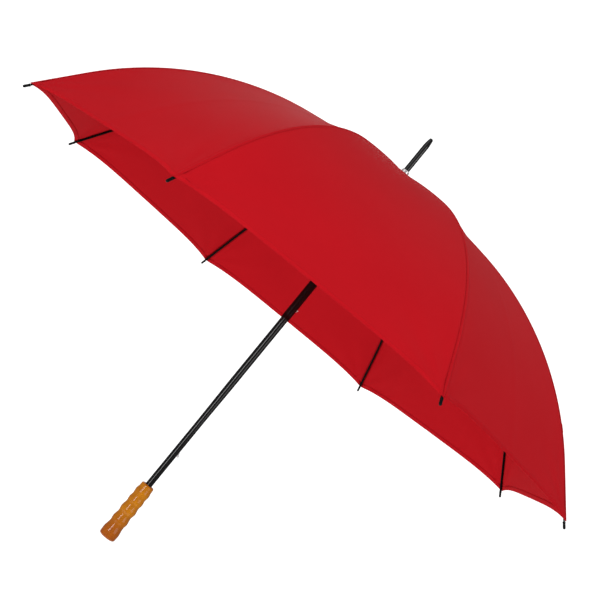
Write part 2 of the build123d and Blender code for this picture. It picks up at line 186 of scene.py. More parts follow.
@dataclass(frozen=True)
class CanopyCloth:
    """Close-woven red rain cloth with a satin face, stitched along its seams and its hem."""

    name: str = "red_canopy_cloth"
    tone: tuple = colour(0.50, 0.0060, 0.0120)
    shade: tuple = colour(0.40, 0.004, 0.008)
    thread: tuple = colour(0.34, 0.006, 0.010)
    sheen: tuple = colour(0.95, 0.16, 0.18)
    roughness: float = 0.55
    weave: Weave = Weave.FINE
    seam_row: float = 3.2 * MM
    hem_row: float = 8.0 * MM
    row_width: float = 0.45 * MM
    stitch: float = 3.0 * MM
    stitch_share: float = 0.7

    def build(self) -> bpy.types.Material:
        """Make the material.

        Returns:
            The material, which reads the piece's own cloth map and edge distances.
        """
        sketch = Sketch(self.name)
        cloth = sketch.add("UVMap", {"uv_map": "cloth"}).outputs["UV"]
        threads = [sketch.add("TexWave", {"bands_direction": axis}, Vector=cloth,
                              Scale=self.weave.scale) for axis in ("X", "Y")]
        weave = sketch.maths("ADD", threads[0].outputs[1], threads[1].outputs[1])
        cloud = sketch.add("TexNoise", None, Vector=cloth, Scale=9.0, Detail=4.0, Roughness=0.55)
        slub = sketch.add("TexNoise", None, Vector=cloth, Scale=900.0, Detail=2.0)
        tone = sketch.blend(sketch.maths("MULTIPLY", cloud.outputs[0], 0.5), self.tone, self.shade)
        tone = sketch.blend(sketch.maths("MULTIPLY", slub.outputs[0], 0.25), tone, self.shade)
        rows = self.stitches(sketch, cloth)
        tone = sketch.blend(sketch.maths("MULTIPLY", rows, 0.35), tone, self.thread)
        ripple = sketch.add("TexNoise", None, Vector=cloth, Scale=22.0, Detail=3.0)
        normal = sketch.bump(ripple.outputs[0], 0.9 * MM, 0.25)
        normal = sketch.bump(weave, 0.06 * MM, 0.35, normal)
        normal = sketch.bump(rows, 0.2 * MM, 0.5, normal)
        rough = sketch.vary(slub.outputs[0], 0.12, self.roughness)
        return sketch.feed(Base_Color=tone, Roughness=rough, Normal=normal, Sheen_Weight=0.015,
                           Sheen_Roughness=0.5, Sheen_Tint=self.sheen, Specular_IOR_Level=0.03)

    def stitches(self, sketch: Sketch, cloth: bpy.types.NodeSocket) -> bpy.types.NodeSocket:
        """The mask of the stitched rows beside the seams and the hem.

        Args:
            sketch: the material's sketch.
            cloth: the cloth map's socket, in metres.

        Returns:
            The mask's socket.
        """
        split = sketch.add("SeparateXYZ", None, Vector=cloth)
        rows = []
        for name, place, along in (("seam", self.seam_row, 1), ("hem", self.hem_row, 0)):
            away = sketch.add("Attribute", {"attribute_name": name + "_distance"}).outputs["Fac"]
            off = sketch.maths("ABSOLUTE", sketch.maths("SUBTRACT", away, place))
            row = sketch.maths("LESS_THAN", off, self.row_width)
            step = sketch.maths("FRACT", sketch.maths("DIVIDE", split.outputs[along], self.stitch))
            rows.append(sketch.maths("MULTIPLY", row,
                                     sketch.maths("LESS_THAN", step, self.stitch_share)))
        return sketch.maths("MAXIMUM", rows[0], rows[1])


@dataclass(frozen=True)
class StrapWebbing:
    """The tie strap's ribbed red webbing, with painted shade in the grooves between its ribs."""

    name: str = "red_strap_webbing"
    tone: tuple = colour(0.42, 0.006, 0.011)
    # Painted shade: a darker red laid into the grooves between the ribs.
    groove_painted_shade: tuple = colour(0.22, 0.003, 0.006)
    weave: Weave = Weave.STRAP

    def build(self) -> bpy.types.Material:
        """Make the material.

        Returns:
            The material, whose ribs run across the strap.
        """
        sketch = Sketch(self.name)
        place = sketch.add("TexCoord").outputs["Object"]
        ribs = sketch.add("TexWave", {"bands_direction": "Y"}, Vector=place,
                          Scale=self.weave.scale)
        fuzz = sketch.add("TexNoise", None, Vector=place, Scale=1500.0, Detail=2.0)
        # Painted shade: where the ribs' bump sinks, the colour is blended darker as shade in the
        # grooves.
        tone = sketch.blend(sketch.maths("MULTIPLY", ribs.outputs[1], 0.5), self.groove_painted_shade, self.tone)
        normal = sketch.bump(ribs.outputs[1], 0.2 * MM, 0.5)
        normal = sketch.bump(fuzz.outputs[0], 0.1 * MM, 0.3, normal)
        return sketch.feed(Base_Color=tone, Normal=normal, Roughness=0.7, Sheen_Weight=0.06,
                           Sheen_Tint=self.tone, Specular_IOR_Level=0.08)


@dataclass(frozen=True)
class Lacquer:
    """Black lacquer or enamel, with faint flow marks and lighter dust spots."""

    name: str
    tone: tuple = colour(0.0035, 0.0035, 0.0038)
    worn: tuple = colour(0.012, 0.012, 0.013)
    roughness: float = 0.16
    coat: float = 0.55
    grain: float = 140.0
    depth: float = 0.01 * MM

    def build(self) -> bpy.types.Material:
        """Make the material.

        Returns:
            The material, whose marks follow the piece's own coordinates.
        """
        sketch = Sketch(self.name)
        place = sketch.add("TexCoord").outputs["Object"]
        flow = sketch.add("TexNoise", None, Vector=place, Scale=self.grain, Detail=3.0)
        dust = sketch.add("TexNoise", None, Vector=place, Scale=self.grain * 9, Detail=2.0)
        spot = sketch.add("MapRange", None, i0=dust.outputs[0], i1=0.66, i2=0.85)
        tone = sketch.blend(sketch.maths("MULTIPLY", spot.outputs[0], 0.25), self.tone, self.worn)
        rough = sketch.vary(flow.outputs[0], 0.12, self.roughness)
        normal = sketch.bump(flow.outputs[0], self.depth, 0.35)
        return sketch.feed(Base_Color=tone, Roughness=rough, Normal=normal,
                           Coat_Weight=self.coat, Coat_Roughness=0.10, Specular_IOR_Level=0.08)


@dataclass(frozen=True)
class BareMetal:
    """Bright metal with drawn lines and small scratches."""

    name: str
    tone: tuple = colour(0.62, 0.62, 0.64)
    dull: tuple = colour(0.38, 0.38, 0.40)
    roughness: float = 0.22
    metal: float = 1.0
    stretch: tuple = (60.0, 60.0, 900.0)

    def build(self) -> bpy.types.Material:
        """Make the material.

        Returns:
            The material, whose lines run round the piece.
        """
        sketch = Sketch(self.name)
        place = sketch.add("TexCoord").outputs["Object"]
        lines = sketch.add("Mapping", None, Vector=place, Scale=self.stretch)
        drawn = sketch.add("TexNoise", None, Vector=lines.outputs[0], Scale=1.0, Detail=3.0)
        smear = sketch.add("TexNoise", None, Vector=place, Scale=220.0, Detail=4.0)
        tone = sketch.blend(smear.outputs[0], self.tone, self.dull)
        rough = sketch.vary(drawn.outputs[0], 0.2, self.roughness - 0.08)
        normal = sketch.bump(drawn.outputs[0], 0.02 * MM, 0.4)
        return sketch.feed(Base_Color=tone, Metallic=self.metal, Roughness=rough, Normal=normal)


@dataclass(frozen=True)
class AmberWood:
    """Turned hardwood stained amber under clear gloss lacquer, its colour darker towards the butt.
    """

    name: str = "amber_lacquered_wood"
    amber: tuple = colour(0.53, 0.190, 0.002)
    russet: tuple = colour(0.35, 0.070, 0.002)
    vein: tuple = colour(0.24, 0.050, 0.004)
    length: float = 0.1244

    def build(self) -> bpy.types.Material:
        """Make the material.

        Returns:
            The material, whose grain runs along the grip.
        """
        sketch = Sketch(self.name)
        place = sketch.add("TexCoord").outputs["Object"]
        height = sketch.add("SeparateXYZ", None, Vector=place).outputs[2]
        # The colour runs from russet at the butt to amber higher up, by height, with a little
        # noise.
        along = sketch.add("MapRange", {"interpolation_type": "SMOOTHSTEP"}, i0=height,
                           i1=-0.012, i2=self.length * 0.62).outputs[0]
        cloud = sketch.add("TexNoise", None, Vector=place, Scale=34.0, Detail=3.0).outputs[0]
        drift = sketch.maths("ADD", along, sketch.maths("MULTIPLY", cloud, 0.35))
        drift = sketch.maths("SUBTRACT", drift, 0.17)
        tone_by_height = sketch.blend(drift, self.russet, self.amber)
        long_grain = sketch.add("Mapping", None, Vector=place, Scale=(420.0, 420.0, 22.0))
        fibre = sketch.add("TexNoise", None, Vector=long_grain.outputs[0], Scale=1.0, Detail=6.0,
                           Roughness=0.65, Distortion=0.4).outputs[0]
        rings = sketch.add("Mapping", None, Vector=place, Scale=(1.0, 1.0, 0.12),
                           Rotation=(0.14, 0.09, 0.0))
        figure = sketch.add("TexWave", {"wave_type": "RINGS", "rings_direction": "Z"},
                            Vector=rings.outputs[0], Scale=42.0, Distortion=5.0, Detail=3.0,
                            Detail_Scale=1.6).outputs[1]
        veins = sketch.maths("MULTIPLY", sketch.maths("SUBTRACT", 1.0, figure), 0.22)
        pores = sketch.add("MapRange", None, i0=fibre, i1=0.48, i2=0.72, i3=0.0, i4=0.30)
        wood = sketch.blend(veins, tone_by_height, self.vein)
        wood = sketch.blend(pores.outputs[0], wood, self.vein)
        normal = sketch.bump(fibre, 0.008 * MM, 0.25)
        return sketch.feed(Base_Color=wood, Roughness=0.45, Normal=normal, Coat_Weight=0.7,
                           Coat_Roughness=0.13, Coat_IOR=1.45, Specular_IOR_Level=0.04)


@dataclass(frozen=True)
class StudioPaper:
    """The studio's white paper."""

    name: str = "studio_paper"
    tone: tuple = colour(0.92, 0.92, 0.92)
    glow: float = 0.64

    def build(self) -> bpy.types.Material:
        """Make the material.

        Returns:
            The material, a matt white that is lit through, with a trace of tooth.
        """
        sketch = Sketch(self.name)
        place = sketch.add("TexCoord").outputs["Object"]
        tooth = sketch.add("TexNoise", None, Vector=place, Scale=40.0, Detail=2.0)
        normal = sketch.bump(tooth.outputs[0], 0.1 * MM, 0.1)
        return sketch.feed(Base_Color=self.tone, Roughness=0.9, Normal=normal,
                           Emission_Color=self.tone, Emission_Strength=self.glow)


# ---- Mesh making -------------------------------------------------------------------------


def finish_mesh(name: str, mesh: bmesh.types.BMesh, finish: bpy.types.Material,
                smooth_angle: float = 40.0) -> bpy.types.Object:
    """Turn a bmesh into a piece with a finish, smooth but for its sharp edges.

    Args:
        name: the piece's name.
        mesh: the bmesh, which is freed.
        finish: the piece's material.
        smooth_angle: edges that turn by more, in degrees, stay sharp.

    Returns:
        The new object.
    """
    limit = radians(smooth_angle)
    for face in mesh.faces:
        face.smooth = True
    for edge in mesh.edges:
        edge.smooth = len(edge.link_faces) != 2 or edge.calc_face_angle(0.0) < limit
    data = bpy.data.meshes.new(name)
    mesh.to_mesh(data)
    mesh.free()
    data.materials.append(finish)
    piece = bpy.data.objects.new(name, data)
    bpy.context.scene.collection.objects.link(piece)
    return piece


def lathe(points: Sequence[tuple[float, float]], steps: int = 64) -> bmesh.types.BMesh:
    """Spin an outline about the shaft's axis.

    Args:
        points: the outline, as (radius, height) in metres.
        steps: how many steps make the turn.

    Returns:
        The closed mesh, with its faces turned outwards.
    """
    mesh = bmesh.new()
    turned = [mesh.verts.new((radius, 0.0, height)) for radius, height in points]
    edges = [mesh.edges.new(pair) for pair in zip(turned, turned[1:])]
    if points[0][0] > 0.0 and points[-1][0] > 0.0:
        edges.append(mesh.edges.new((turned[-1], turned[0])))
    bmesh.ops.spin(mesh, geom=turned + edges, cent=(0, 0, 0), axis=(0, 0, 1), angle=2 * pi,
                   steps=steps, use_merge=True, use_duplicate=False)
    bmesh.ops.remove_doubles(mesh, verts=mesh.verts, dist=1e-6)
    bmesh.ops.dissolve_degenerate(mesh, dist=1e-7, edges=mesh.edges)
    bmesh.ops.recalc_face_normals(mesh, faces=mesh.faces)
    return mesh


def face_up(mesh: bmesh.types.BMesh) -> None:
    """Turn a sheet's faces over if they look down on the whole."""
    mesh.normal_update()
    if sum(face.normal.z for face in mesh.faces) < 0:
        bmesh.ops.reverse_faces(mesh, faces=mesh.faces)


def lay_flat(mesh: bmesh.types.BMesh, flat: dict[bmesh.types.BMVert, tuple]) -> None:
    """Give a sheet its cloth map.

    Args:
        mesh: the sheet.
        flat: where each vertex lies on the flat cloth, in metres.
    """
    cloth_map = mesh.loops.layers.uv.new("cloth")
    for face in mesh.faces:
        for loop in face.loops:
            loop[cloth_map].uv = flat[loop.vert]


def round_corner(corner: tuple[float, float], start: tuple[float, float],
                 end: tuple[float, float], steps: int = 6) -> list[tuple[float, float]]:
    """Points that round a corner of an outline from start to end.

    Args:
        corner: the corner's point.
        start: where the rounding starts.
        end: where it ends.
        steps: how many pieces it has.

    Returns:
        The points, start and end among them.
    """
    points = []
    for step in range(steps + 1):
        t = step / steps
        weights = ((1 - t) ** 2, 2 * t * (1 - t), t ** 2)
        points.append(tuple(sum(w * p[k] for w, p in zip(weights, (start, corner, end)))
                            for k in (0, 1)))
    return points


def cut_window(mesh: bmesh.types.BMesh, low: float, high: float, width: float) -> None:
    """Cut a window through both walls of a spun tube on its +X side.

    Args:
        mesh: the tube.
        low: the window's lower edge.
        high: its upper edge.
        width: its width.
    """
    for height in (low, high):
        bmesh.ops.bisect_plane(mesh, geom=mesh.verts[:] + mesh.edges[:] + mesh.faces[:],
                               plane_co=(0, 0, height), plane_no=(0, 0, 1))
    near = [f for f in mesh.faces if f.calc_center_median().x > 0]
    rim = {v for f in near for v in f.verts} | {e for f in near for e in f.edges}
    for side in (-width / 2, width / 2):
        bmesh.ops.bisect_plane(mesh, geom=list(rim) + near, plane_co=(0, side, 0),
                               plane_no=(0, 1, 0))
        near = [f for f in mesh.faces if f.calc_center_median().x > 0]
        rim = {v for f in near for v in f.verts} | {e for f in near for e in f.edges}

    def inside(face: bmesh.types.BMFace) -> bool:
        """Whether a face lies in the window."""
        middle = face.calc_center_median()
        return middle.x > 0 and abs(middle.y) < width / 2 and low < middle.z < high

    bmesh.ops.delete(mesh, geom=[f for f in mesh.faces if inside(f)], context="FACES")
    bmesh.ops.bridge_loops(mesh, edges=[e for e in mesh.edges if e.is_boundary])
    bmesh.ops.recalc_face_normals(mesh, faces=mesh.faces)


# ---- Canopy ------------------------------------------------------------------------------


@dataclass
class SeamLine:
    """The canopy's underside along a rib: two arcs that join without a corner, then a line."""

    start: float = 0.0128
    crown: float = 0.896
    crown_slope: float = radians(8.3)
    inner_radius: float = 2.650
    inner_slope: float = radians(13.1)
    outer_radius: float = 0.620
    rim_slope: float = radians(52.0)
    rim: float = 0.640

    def __post_init__(self) -> None:
        """Work out where each stretch ends."""
        self.inner = self.inner_radius * (self.inner_slope - self.crown_slope)
        self.outer = self.inner + self.outer_radius * (self.rim_slope - self.inner_slope)
        reach, _, _ = self.at(self.outer)
        self.length = self.outer + (self.rim - reach) / cos(self.rim_slope)

    def at(self, run: float) -> tuple[float, float, float]:
        """The seam line's place after a run along it.

        Args:
            run: the distance from the start.

        Returns:
            The radius, the height and the slope below level, in radians.
        """
        first = self.crown_slope
        slope = min(first + max(run, 0.0) / self.inner_radius, self.inner_slope)
        radius = self.start + self.inner_radius * (sin(slope) - sin(first))
        height = self.crown - self.inner_radius * (cos(first) - cos(slope))
        if run > self.inner:
            slope = min(self.inner_slope + (run - self.inner) / self.outer_radius, self.rim_slope)
            radius += self.outer_radius * (sin(slope) - sin(self.inner_slope))
            height -= self.outer_radius * (cos(self.inner_slope) - cos(slope))
        left = max(run - self.outer, 0.0) if run > self.inner else 0.0
        return radius + left * cos(slope), height - left * sin(slope), slope


def turned(azimuth: float) -> Matrix:
    """The turn that takes the +X side to an azimuth in degrees."""
    return Matrix.Rotation(radians(azimuth), 4, "Z")


@dataclass
class Canopy:
    """Eight cloth gores sewn to each other along the ribs, hemmed and tied at the rim."""

    seam: SeamLine = field(default_factory=SeamLine)
    patch_edge: float = 0.0132
    hem_scallop: float = 0.0125
    hem_power: float = 4.5
    sag: float = 0.0060
    crease: float = 0.0006
    lift: float = 0.0002
    thickness: float = 0.0005
    hem_width: float = 0.010
    hem_reach: float = 0.985
    hem_drop: float = 0.0002
    hem_thickness: float = 0.00018
    seam_width: float = 0.0065
    fell_rise: float = 0.0007
    fell_rows: int = 110
    fell_stitch: float = 0.0032
    fold_height: float = 0.0016
    fold_reach: float = 0.075
    folds: float = 11.0
    columns: int = 56
    rows: int = 84
    folded_share: float = 0.40
    patch_overhang: float = 0.004
    patch_bore: float = 0.0062
    patch_drop: float = 0.0002

    def end_run(self, across: float) -> float:
        """The run at which the cloth ends, where across goes from -1 at one seam to 1."""
        return self.seam.length - self.hem_scallop * (1 - abs(across) ** self.hem_power)

    def ripple(self, across: float, run: float) -> float:
        """Height of the tension folds that fan out of the gore's lower corners.

        Args:
            across: the place across the gore, from -1 to 1.
            run: the distance along the seam line.

        Returns:
            The height, in metres.
        """
        radius, _, _ = self.seam.at(run)
        height = 0.0
        for side, phase in ((-1.0, 0.4), (1.0, 1.7)):
            beside = (1 - side * across) * radius * sin(HALF_GORE)
            above = self.seam.length - run
            away = (beside ** 2 + above ** 2) ** 0.5
            fan = atan2(beside, above + 1e-6)
            fade = exp(-away / self.fold_reach) * min(beside / 0.012, 1.0)
            height += self.fold_height * fade * sin(self.folds * fan + phase)
        return height

    def surface(self, across: float, run: float, rise: float = 0.0) -> Vector:
        """A point of the cloth of the gore on the +X side.

        Args:
            across: the place across the gore, from -1 to 1.
            run: the distance along the seam line.
            rise: height above the cloth.

        Returns:
            The point.
        """
        radius, height, slope = self.seam.at(run)
        chord, half = radius * cos(HALF_GORE), radius * sin(HALF_GORE)
        lean = atan2(tan(slope), cos(HALF_GORE))
        share = max(run, 0.0) / self.seam.length
        bow = 1 - across ** 2
        inward = self.sag * sin(pi * min(share, 1.0)) * bow
        fold = self.crease * exp(-abs(across) * half / 0.007) * min(share * 5, 1.0)
        out = rise + self.lift - inward + fold + self.ripple(across, run)
        return Vector((chord + out * sin(lean), across * half, height + out * cos(lean)))

    def lay(self, name: str, azimuth: float, columns: int, rows: int,
            place: Callable[[float, float], tuple[float, float]], rise: float,
            cloth: bpy.types.Material) -> bpy.types.Object:
        """Lay a grid of cloth on a gore.

        Args:
            name: the piece's name.
            azimuth: the gore's middle, in degrees.
            columns: how many squares there are across.
            rows: how many there are along.
            place: takes (across, along), each from -1 to 1 and 0 to 1, to (across, run).
            rise: height above the gore's cloth.
            cloth: the finish.

        Returns:
            The piece, with its cloth map and its distances from seam and hem.
        """
        mesh = bmesh.new()
        bmesh.ops.create_grid(mesh, x_segments=columns, y_segments=rows, size=1.0)
        seam_away = mesh.verts.layers.float.new("seam_distance")
        hem_away = mesh.verts.layers.float.new("hem_distance")
        flat: dict[bmesh.types.BMVert, tuple] = {}
        for vert in mesh.verts:
            across, run = place(vert.co.x, (1 + vert.co.y) / 2)
            radius, _, _ = self.seam.at(run)
            half = radius * sin(HALF_GORE)
            vert[seam_away] = (1 - abs(across)) * half
            vert[hem_away] = self.end_run(across) - run
            flat[vert] = (across * half, run)
            vert.co = self.surface(across, run, rise)
        lay_flat(mesh, flat)
        bmesh.ops.transform(mesh, matrix=turned(azimuth), verts=mesh.verts)
        face_up(mesh)
        return finish_mesh(name, mesh, cloth, SOFT_ANGLE)

    def thicken(self, piece: bpy.types.Object, thickness: float) -> None:
        """Give a laid cloth its thickness, outwards.

        Args:
            piece: the cloth.
            thickness: its thickness.
        """
        shell = piece.modifiers.new("thickness", "SOLIDIFY")
        shell.thickness = thickness
        shell.offset = 1.0
        shell.use_even_offset = True

    def flat_area(self) -> float:
        """The cut area of one gore.

        Returns:
            The area, in square metres.
        """
        strips = 200
        start = self.patch_edge - self.seam.start
        step = (self.seam.length - start) / strips
        widths = [self.seam.at(start + (k + 0.5) * step)[0] for k in range(strips)]
        lost = self.hem_scallop * (1 - 1 / (self.hem_power + 1))
        return (sum(widths) * step - self.seam.rim * lost) * 2 * sin(HALF_GORE)

    def gather(self, piece: bpy.types.Object, number: int) -> None:
        """Ride a piece on its gore, with a mesh of its own.

        Args:
            piece: the piece.
            number: the gore's number.
        """
        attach(piece, f"gore_{number}")
        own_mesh(piece)

    def gore(self, number: int, cloth: bpy.types.Material) -> None:
        """Make one gore with its turned hem, and work out its cut area.

        Args:
            number: the gore's number.
            cloth: the finish.
        """
        azimuth = (number - 1) * SPACING
        start = self.patch_edge - self.seam.start

        def whole(across: float, along: float) -> tuple[float, float]:
            """The whole gore, from the crown patch to the hem."""
            return across, start + (self.end_run(across) - start) * along

        def turned_hem(across: float, along: float) -> tuple[float, float]:
            """The hem's turned band, inside the cloth."""
            within = across * self.hem_reach
            return within, self.end_run(within) - self.hem_width * (1 - along)

        panel = self.lay(f"gore_cloth_{number}", azimuth, self.columns, self.rows, whole, 0.0,
                         cloth)
        self.thicken(panel, self.thickness)
        hem = self.lay(f"hem_{number}", azimuth, self.columns, 3, turned_hem, -self.hem_drop,
                       cloth)
        self.thicken(hem, self.hem_thickness)
        for piece in (panel, hem):
            self.gather(piece, number)
        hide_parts(f"canopy_gore_{number}")
        self.flat_area()
        LOG.info("%s and %s laid", panel.name, hem.name)

    def seam_fell(self, number: int, cloth: bpy.types.Material) -> None:
        """Make the felled seam that joins two gores over a rib.

        Args:
            number: the rib's number.
            cloth: the finish.
        """
        mesh = bmesh.new()
        bmesh.ops.create_grid(mesh, x_segments=6, y_segments=self.fell_rows, size=1.0)
        seam_away = mesh.verts.layers.float.new("seam_distance")
        hem_away = mesh.verts.layers.float.new("hem_distance")
        start = self.patch_edge - self.seam.start
        flat: dict[bmesh.types.BMVert, tuple] = {}
        for vert in mesh.verts:
            run = start + (self.seam.length - 0.001 - start) * (1 + vert.co.y) / 2
            side = vert.co.x
            radius, height, slope = self.seam.at(run)
            taper = min(1.0, 0.35 + (self.seam.length - run) / 0.03, 0.5 + radius / 0.06)
            beside = side * self.seam_width / 2 * taper
            rise = self.lift + self.thickness + self.fell_rise * (1 - side ** 4)
            rise -= abs(beside) * 0.22
            vert[seam_away] = self.fell_stitch if abs(side) > 0.3 else 0.0
            vert[hem_away] = self.seam.length - run + 0.02
            flat[vert] = (beside, run)
            vert.co = Vector((radius + rise * sin(slope), beside, height + rise * cos(slope)))
        lay_flat(mesh, flat)
        bmesh.ops.transform(mesh, matrix=turned((number - 0.5) * SPACING), verts=mesh.verts)
        face_up(mesh)
        fell = finish_mesh(f"seam_{number}", mesh, cloth, SOFT_ANGLE)
        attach(fell, f"rib_{number}")
        LOG.info("%s sewn", fell.name)

    def crown_patch(self, cloth: bpy.types.Material) -> None:
        """Make the round patch of cloth under the ferrule's ring.

        Args:
            cloth: the finish.
        """
        low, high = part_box("crown_patch")
        outer, bore, drop = high[0] + self.patch_overhang, self.patch_bore, self.patch_drop
        outline = [(bore, low[2]), (outer, low[2] - drop)]
        outline += round_corner((outer + drop, high[2] - drop), (outer, low[2]),
                                (outer - 4 * drop, high[2] - drop / 2), 4)
        outline += [(bore, high[2])]
        mesh = lathe(outline, 96)
        lay_flat(mesh, {vert: (vert.co.x, vert.co.y) for vert in mesh.verts})
        hem_away = mesh.verts.layers.float.new("hem_distance")
        for vert in mesh.verts:
            vert[hem_away] = (outer - vert.co.xy.length) + 0.0055
        patch = finish_mesh("crown_cloth", mesh, cloth)
        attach(patch, "shaft")
        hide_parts("crown_patch")
        LOG.info("%s laid", patch.name)

    def build(self, cloth: bpy.types.Material) -> None:
        """Make the whole canopy.

        Args:
            cloth: the finish of every gore.
        """
        for number in range(1, RIBS + 1):
            self.gore(number, cloth)
            self.seam_fell(number, cloth)
        self.crown_patch(cloth)


@dataclass
class TieStrap:
    """The strap sewn into a seam, with a press stud at its free end."""

    canopy: Canopy
    run: float = 0.5802
    width: float = 0.016
    length: float = 0.128
    thickness: float = 0.0010
    ease: float = 0.0011
    wave: float = 0.0006
    stud: float = 0.005
    stud_inset: float = 0.009
    stud_rise: float = 0.0026
    stud_aim: float = 0.0126

    def build(self, webbing: bpy.types.Material, metal: bpy.types.Material) -> None:
        """Make the strap and its stud.

        Args:
            webbing: the strap's finish.
            metal: the stud's finish.
        """
        radius, _, _ = self.canopy.seam.at(self.run)
        half = radius * sin(HALF_GORE)
        mesh = bmesh.new()
        bmesh.ops.create_grid(mesh, x_segments=64, y_segments=8, size=1.0)
        for vert in mesh.verts:
            along, side = (1 + vert.co.x) / 2, vert.co.y
            rounding = max(along * self.length - self.length + self.width / 2, 0.0)
            reach = (1 - (rounding / (self.width / 2)) ** 2) ** 0.5 if rounding else 1.0
            across = -1.0 + (0.0008 + along * self.length) / half
            run = self.run + side * max(reach, 0.05) * self.width / 2
            rise = self.wave * sin(9 * along) ** 2 + self.ease
            vert.co = self.canopy.surface(across, run, rise)
        face_up(mesh)
        strap = finish_mesh("strap_webbing", mesh, webbing, SOFT_ANGLE)
        self.canopy.thicken(strap, self.thickness)
        across = -1.0 + (self.length - self.stud_inset) / half
        spot = self.canopy.surface(across, self.run, self.stud_rise)
        above = self.canopy.surface(across, self.run, self.stud_aim)
        dome = [(0.0, 0.0), (self.stud, 0.0), (self.stud, 0.0005)]
        dome += round_corner((self.stud * 0.9, 0.0016), (self.stud, 0.0005),
                             (self.stud * 0.45, 0.0016), 5)
        dome += [(self.stud * 0.3, 0.0012), (0.0, 0.0011)]
        mesh = lathe(dome, 40)
        aim = (above - spot).to_track_quat("Z", "Y").to_matrix().to_4x4()
        bmesh.ops.transform(mesh, matrix=Matrix.Translation(spot) @ aim, verts=mesh.verts)
        stud = finish_mesh("press_stud", mesh, metal)
        for piece, node, slot in ((strap, "tie_strap", "canopy_cloth"),
                                  (stud, "strap_stud", "ring_chrome")):
            self.canopy.gather(piece, 1)
            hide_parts(node)
        LOG.info("%s and %s laid", strap.name, stud.name)


# ---- Shaft, grip and ferrule -------------------------------------------------------------


@dataclass
class Grip:
    """The turned grip: a swollen butt, then finger swells and waists."""

    butt_flat: float = 0.012
    butt_rounding: float = 0.005
    swells: tuple = ((13.5, 17.4), (31.4, 15.1), (41.0, 16.3), (54.5, 14.4), (65.2, 16.1),
                     (78.0, 14.2), (87.0, 15.4), (96.5, 14.1), (106.5, 15.2), (116.5, 13.6))
    top: float = 0.1244
    shoulder: float = 0.0034
    shoulder_radius: float = 0.0134
    bore: float = 0.00685
    bore_depth: float = 0.004

    def outline(self) -> list[tuple[float, float]]:
        """The grip's outline from the butt's middle to the bore.

        Returns:
            Points as (radius, height).
        """
        edge, neck = self.butt_flat + self.butt_rounding, self.shoulder_radius
        points = [(0.0, 0.0)]
        points += round_corner((edge, 0.0), (self.butt_flat, 0.0), (edge, self.butt_rounding), 10)
        stops = [(self.butt_rounding, edge)] + [(h * MM, r * MM) for h, r in self.swells]
        stops += [(self.top - self.shoulder, neck)]
        steps = 12
        for (low, wide), (high, narrow) in zip(stops, stops[1:]):
            for step in range(1, steps + 1):
                share = (1 - cos(pi * step / steps)) / 2
                points.append((wide + (narrow - wide) * share, low + (high - low) * step / steps))
        points += round_corner((neck, self.top), (neck, self.top - self.shoulder),
                               (neck - self.shoulder, self.top), 8)[1:]
        floor = self.top - self.bore_depth
        points += [(self.bore, self.top), (self.bore, floor), (0.0, floor)]
        return points

    def build(self, wood: bpy.types.Material) -> None:
        """Make the grip.

        Args:
            wood: the finish.
        """
        grip = finish_mesh("grip", lathe(self.outline(), 96), wood, 55.0)
        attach(grip, "shaft")
        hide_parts("handle")
        LOG.info("%s turned", grip.name)


